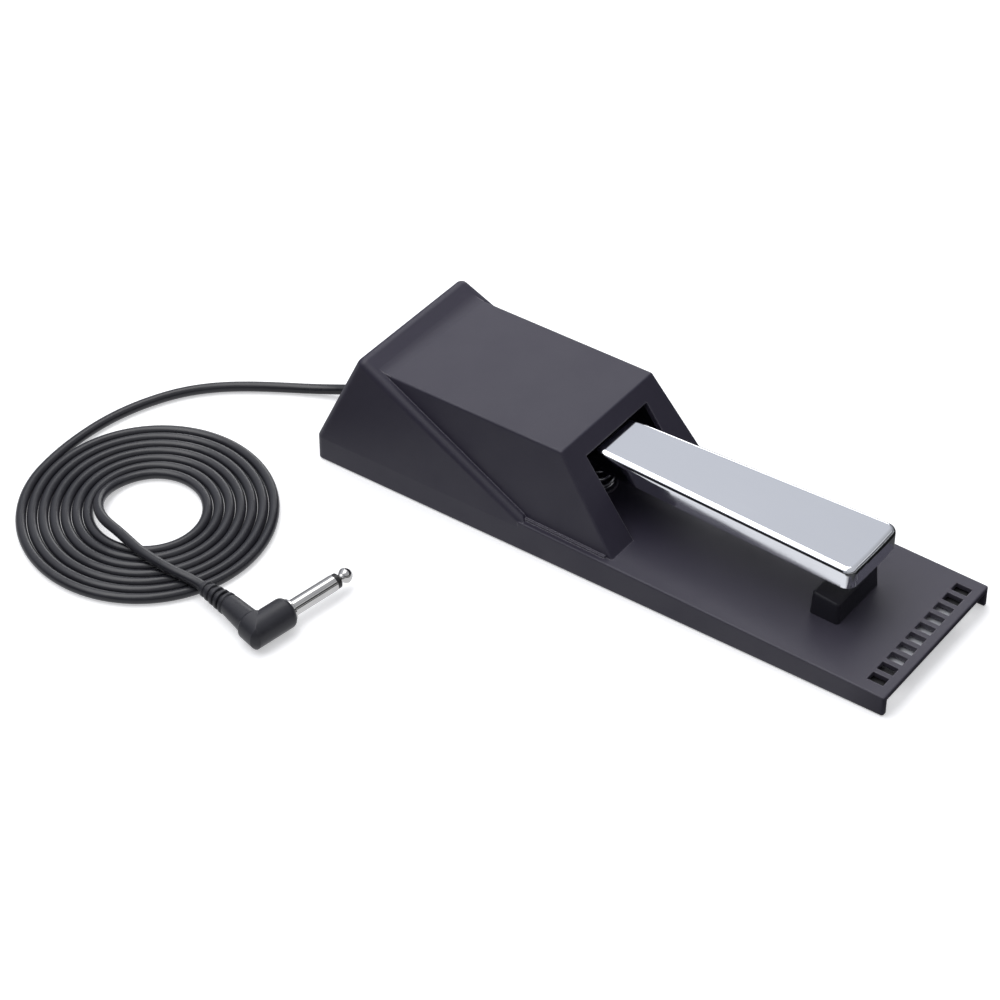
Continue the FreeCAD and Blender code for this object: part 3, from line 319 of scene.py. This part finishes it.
def gloss(mat, color, roughness):
    """Smooth, slightly clouded plastic."""
    grain = mat.noise(scale=600, detail=2.0, roughness=0.5)
    cloud = mat.noise(scale=120, detail=3.0, roughness=0.5)
    mat.surface(color=mat.mix(cloud, color, shade(color, gain=1.35, offset=0.004)),
                roughness=mat.remap(cloud, to=(roughness - 0.04, roughness + 0.06)),
                normal=mat.bump(grain, strength=0.06, distance=0.00004, edge=0.0003))


def tinned(mat):
    """Brass under a patchy coat of tin."""
    cloud = mat.noise(scale=400, detail=4.0, roughness=0.6)
    brass, tin = (0.76, 0.70, 0.55), (0.78, 0.77, 0.74)
    mat.surface(color=mat.mix(mat.remap(cloud, span=(0.35, 0.65)), brass, tin),
                metallic=1.0, roughness=mat.remap(cloud, to=(0.22, 0.38)),
                normal=mat.bump(cloud, strength=0.15, distance=0.00004, edge=0.0002))


def make_material(name, build, **options):
    material = bpy.data.materials.new(name)
    build(Graph(material), **options)
    return material


# material name: (function, options)
FINISHES = {
    "case_plastic": (moulded_plastic, {}),
    "pad_rubber": (rubber, dict(color=(0.013, 0.0125, 0.019), roughness=0.50)),
    "mat_rubber": (rubber, dict(color=(0.028, 0.028, 0.030), roughness=0.72,
                                grain_scale=900, bump=0.35, dust=0.5)),
    "plate_steel": (steel, dict(color=(0.56, 0.56, 0.60), roughness=0.46,
                                metallic=0.35, zinc=0.45)),
    "lever_chrome": (chrome, {}),
    "pin_steel": (steel, dict(color=(0.62, 0.62, 0.63), roughness=0.22, stretch=(0.05, 1, 1))),
    "spring_steel": (steel, dict(color=(0.60, 0.60, 0.61), roughness=0.20, stretch=(1, 1, 1))),
    "screw_steel": (steel, dict(color=(0.55, 0.55, 0.54), roughness=0.28,
                                zinc=0.25, stretch=(1, 1, 1))),
    "nylon_white": (nylon, {}),
    "felt_grey": (felt, {}),
    "switch_black": (gloss, dict(color=(0.020, 0.020, 0.022), roughness=0.34)),
    "switch_red": (gloss, dict(color=(0.42, 0.035, 0.025), roughness=0.30)),
    "brass_tin": (tinned, {}),
    "cable_pvc": (pvc_cable, {}),
    "wire_white": (gloss, dict(color=(0.72, 0.72, 0.70), roughness=0.38)),
    "wire_black": (gloss, dict(color=(0.022, 0.022, 0.022), roughness=0.38)),
    "plug_pvc": (plug_moulding, {}),
    "plug_nickel": (nickel, {}),
    "insulator_black": (gloss, dict(color=(0.012, 0.012, 0.012), roughness=0.30)),
}
materials = {
    name: make_material(name, build, **options)
    for name, (build, options) in FINISHES.items()
}

slot_of = {part["node"]: part["material_slot"] for part in frame["record"]["subparts"]}
for name, piece in frame["nodes"].items():
    piece.data.materials.clear()
    piece.data.materials.append(materials[slot_of[name]])
    for polygon in piece.data.polygons:
        polygon.material_index = 0


# ------------------------------------------------------------------ return spring
def mesh_object(name, vertices, faces):
    mesh = bpy.data.meshes.new(name)
    mesh.from_pydata(vertices, [], faces)
    made = bpy.data.objects.new(name, mesh)
    bpy.context.scene.collection.objects.link(made)
    return made


def round_bar(name, path, center_x, center_y, radius, sides=16):
    """Closed round bar along a path that winds about a vertical axis."""
    vertices = []
    last = len(path) - 1
    for i, point in enumerate(path):
        along = (path[min(i + 1, last)] - path[max(i - 1, 0)]).normalized()
        outward = Vector((point.x - center_x, point.y - center_y, 0)).normalized()
        across = along.cross(outward).normalized()
        outward = across.cross(along).normalized()
        for k in range(sides):
            angle = 2 * math.pi * k / sides
            offset = (outward * math.cos(angle) + across * math.sin(angle)) * radius
            vertices.append(tuple(point + offset))

    faces = []
    for i in range(last):
        for k in range(sides):
            a = i * sides + k
            b = i * sides + (k + 1) % sides
            faces.append((a, b, b + sides, a + sides))
    faces.append(tuple(reversed(range(sides))))
    faces.append(tuple(range(last * sides, len(path) * sides)))

    bar = mesh_object(name, vertices, faces)
    edit = bmesh.new()
    edit.from_mesh(bar.data)
    bmesh.ops.recalc_face_normals(edit, faces=edit.faces)
    edit.to_mesh(bar.data)
    edit.free()
    # the sides are smooth, the two end caps flat
    for polygon in bar.data.polygons:
        polygon.use_smooth = len(polygon.vertices) == 4
    return bar


WIRE_RADIUS = 0.00065
WIRE_SLIMMING = 0.985  # share of the wire radius that is drawn
END_TURNS = 1.15  # nearly closed turns at each end
END_PITCH = 2 * WIRE_RADIUS * 1.06
MIDDLE_TURNS = 5.0
STEPS_PER_TURN = 40
START_ANGLE = math.radians(200)


def helix(center_x, center_y, radius, bottom, top):
    """Points of the wire's centre line, from bottom to top."""
    end_rise = END_PITCH * END_TURNS
    middle_rise = top - bottom - 2 * end_rise
    turns = MIDDLE_TURNS + 2 * END_TURNS
    steps = int(turns * STEPS_PER_TURN)
    points = []
    for i in range(steps + 1):
        turn = turns * i / steps
        if turn < END_TURNS:
            z = bottom + end_rise * turn / END_TURNS
        elif turn > turns - END_TURNS:
            z = top - end_rise * (turns - turn) / END_TURNS
        else:
            z = bottom + end_rise + middle_rise * (turn - END_TURNS) / MIDDLE_TURNS
        angle = 2 * math.pi * turn + START_ANGLE
        x = center_x + radius * math.cos(angle)
        y = center_y + radius * math.sin(angle)
        points.append(Vector((x, y, z)))
    return points


def return_spring():
    """The spring drawn again as its own coil in place of the CAD spring. The real spring shortens
    when the lever goes down; this coil has one fixed length.
    """
    low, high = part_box("return_spring")
    center_x = (low.x + high.x) / 2
    center_y = (low.y + high.y) / 2
    path = helix(center_x, center_y, radius=(high.x - low.x) / 2 - WIRE_RADIUS,
                 bottom=low.z + WIRE_RADIUS, top=high.z - WIRE_RADIUS)
    coil = round_bar("return_spring_coil", path, center_x, center_y,
                     radius=WIRE_RADIUS * WIRE_SLIMMING)
    coil.data.materials.append(materials["spring_steel"])
    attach(coil, "base")
    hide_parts("return_spring")
    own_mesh(coil)


return_spring()


# ------------------------------------------------------------------ floor
FLOOR_HALF = 3
FLOOR_Z = -0.0002
CONTACT_RAY = 0.0005  # rays shorter than this pass through the floor


def floor_paper(mat):
    """Pale paper: bright to the camera, a painted reflection to glossy rays and dark in its
    bounce light.
    """
    paper, paler = (0.90, 0.90, 0.905), (0.925, 0.925, 0.93)
    bounce_color, painted_reflection_color = (0.17, 0.17, 0.185), (0.93, 0.94, 0.98)
    lit_paper = mat.surface(
        color=mat.mix(mat.noise(scale=14), paper, paler), roughness=0.9, specular=0.1,
        normal=mat.bump(mat.noise(scale=900), strength=0.03, distance=0.0001))
    bounce = mat.node("ShaderNodeBsdfDiffuse", {"Color": bounce_color}).outputs["BSDF"]

    # painted reflection: to glossy rays the floor glows, fading to the right, far to the left and
    # at the front
    axes = mat.axes()
    strength = mat.times(
        mat.remap(axes["X"], span=(-0.03, 0.03), to=(0.85, 0.10)),
        mat.remap(axes["X"], span=(-0.30, -0.20), to=(0.08, 1.0)))
    strength = mat.times(
        strength, mat.remap(axes["Y"], span=(-0.130, -0.105), to=(0.08, 1.0)))
    painted_reflection = mat.node("ShaderNodeEmission", {"Color": painted_reflection_color, "Strength": strength})

    ray = mat.node("ShaderNodeLightPath").outputs
    glow = mat.node("ShaderNodeEmission", {"Strength": 0.42}).outputs["Emission"]
    seen = mat.node("ShaderNodeAddShader", {0: lit_paper, 1: glow}).outputs["Shader"]
    unseen = mat.mix_shader(ray["Is Glossy Ray"], bounce, painted_reflection.outputs["Emission"])
    top = mat.mix_shader(ray["Is Camera Ray"], unseen, seen)

    # clear from below and to very short rays, so the underside can be looked at
    clear = mat.node("ShaderNodeBsdfTransparent").outputs["BSDF"]
    below = mat.node("ShaderNodeNewGeometry").outputs["Backfacing"]
    touching = mat.math("LESS_THAN", ray["Ray Length"], CONTACT_RAY)
    sheet = mat.mix_shader(mat.math("MAXIMUM", below, touching), top, clear)
    mat.put(mat.tree.nodes["Material Output"].inputs["Surface"], sheet)


corners = [(-1, -1), (1, -1), (1, 1), (-1, 1)]
floor = mesh_object(
    "floor", [(x * FLOOR_HALF, y * FLOOR_HALF, FLOOR_Z) for x, y in corners], [(0, 1, 2, 3)])
floor.data.materials.append(make_material("floor_paper", floor_paper))


# ------------------------------------------------------------------ light
def studio_world():
    """A room that is pale above and to the rear and dark in front. X, Y, Z are directions."""
    world = bpy.data.worlds.new("studio")
    bpy.context.scene.world = world
    room = Graph(world, coordinates="Generated")
    axes = room.axes()

    # brightness by height, then dimmed towards the front except overhead
    low, middle, high = (0.10, 0.10, 0.115), (0.66, 0.68, 0.74), (0.80, 0.81, 0.85)
    sky = room.ramp(axes["Z"], [(0.0, low), (0.6, middle), (0.95, high)])
    overhead = room.times(room.remap(axes["Z"], span=(0.48, 0.72)), factor=0.60)
    rearward = room.remap(axes["Y"], span=(-0.8, 0.6))
    front_dim = (0.16, 0.16, 0.16)
    open_sky = room.ramp(
        room.math("MAXIMUM", rearward, overhead), [(0.0, front_dim), (1.0, WHITE)])

    # a dark curtain low on the left, hanging only towards the rear
    curtain_color = (0.03, 0.03, 0.035)
    clear_of_curtain = room.math(
        "MAXIMUM",
        room.remap(axes["X"], span=(-0.72, -0.50)),
        room.remap(axes["Z"], span=(0.50, 0.58)))
    clear_of_curtain = room.math(
        "MAXIMUM", clear_of_curtain, room.remap(axes["Y"], span=(0.22, 0.06)))
    curtain = room.ramp(clear_of_curtain, [(0.0, curtain_color), (1.0, WHITE)])
    shading = room.mix(1.0, open_sky, curtain, blend="MULTIPLY")

    # two narrow bright strips in the dark front, for crisp lines on the polished metal
    bands = room.ramp(axes["Z"], [
        (0.0, BLACK),
        (0.12, BLACK), (0.14, WHITE), (0.20, WHITE), (0.22, BLACK),
        (0.50, BLACK), (0.52, WHITE), (0.60, WHITE), (0.62, BLACK),
    ])
    front = room.ramp(
        room.remap(axes["Y"], span=(-0.45, -0.30)), [(0.0, WHITE), (1.0, BLACK)])
    strips = room.mix(1.0, bands, front, blend="MULTIPLY")
    strip_strength = 0.55
    light = room.mix(1.0, sky, shading, blend="MULTIPLY")
    light = room.mix(strip_strength, light, strips, blend="ADD")

    # light from below, which the floor keeps away from everything that stands on it
    under_color = (1.6, 1.6, 1.65)
    under = room.ramp(
        room.remap(axes["Z"], span=(-0.6, -0.3)), [(0.0, under_color), (1.0, BLACK)])
    light = room.mix(1.0, light, under, blend="ADD")

    # the camera sees a plain pale room beyond the floor's edge
    backdrop = (0.86, 0.865, 0.88)
    to_camera = room.node("ShaderNodeLightPath").outputs["Is Camera Ray"]
    background = room.tree.nodes["Background"]
    room.put(background.inputs["Color"], room.mix(to_camera, light, backdrop))
    room.put(background.inputs["Strength"], 1.0)


def softbox(name, location, target, size, power):
    """Rectangular area light aimed at a point."""
    light = bpy.data.lights.new(name, "AREA")
    light.shape = "RECTANGLE"
    light.size, light.size_y = size
    light.energy = power
    light.spread = math.radians(150)
    holder = bpy.data.objects.new(name, light)
    holder.location = location
    holder.rotation_mode = "QUATERNION"
    aim = Vector(target) - Vector(location)
    holder.rotation_quaternion = aim.to_track_quat("-Z", "Y")
    bpy.context.scene.collection.objects.link(holder)


studio_world()
softbox("key_top", location=(-0.05, 0.38, 1.3), target=(0, -0.06, 0), size=(1.9, 0.9), power=9.0)
softbox("rim_right", location=(1.3, 0.75, 0.45), target=(0, 0, 0.02), size=(0.9, 0.45), power=2.2)


# ------------------------------------------------------------------ camera
CAMERA_PLACE = (-0.79027, -0.50342, 0.77444)
CAMERA_RIGHT = (0.584029, -0.811732, -0.000147)
CAMERA_BACK = (-0.629657, -0.453143, 0.631026)  # from the subject towards the camera


def add_camera():
    lens = bpy.data.cameras.new("camera")
    camera = bpy.data.objects.new("camera", lens)
    bpy.context.scene.collection.objects.link(camera)
    camera.location = CAMERA_PLACE
    # square up the three axes before turning them into a rotation
    back = Vector(CAMERA_BACK).normalized()
    up = back.cross(Vector(CAMERA_RIGHT).normalized()).normalized()
    right = up.cross(back).normalized()
    camera.rotation_mode = "QUATERNION"
    camera.rotation_quaternion = Matrix((right, up, back)).transposed().to_quaternion()
    lens.sensor_width = 36.0
    lens.lens = 117.5409
    lens.clip_start = 0.01
    lens.clip_end = 20
    bpy.context.scene.camera = camera


add_camera()
bpy.context.scene.view_settings.view_transform = "Standard"
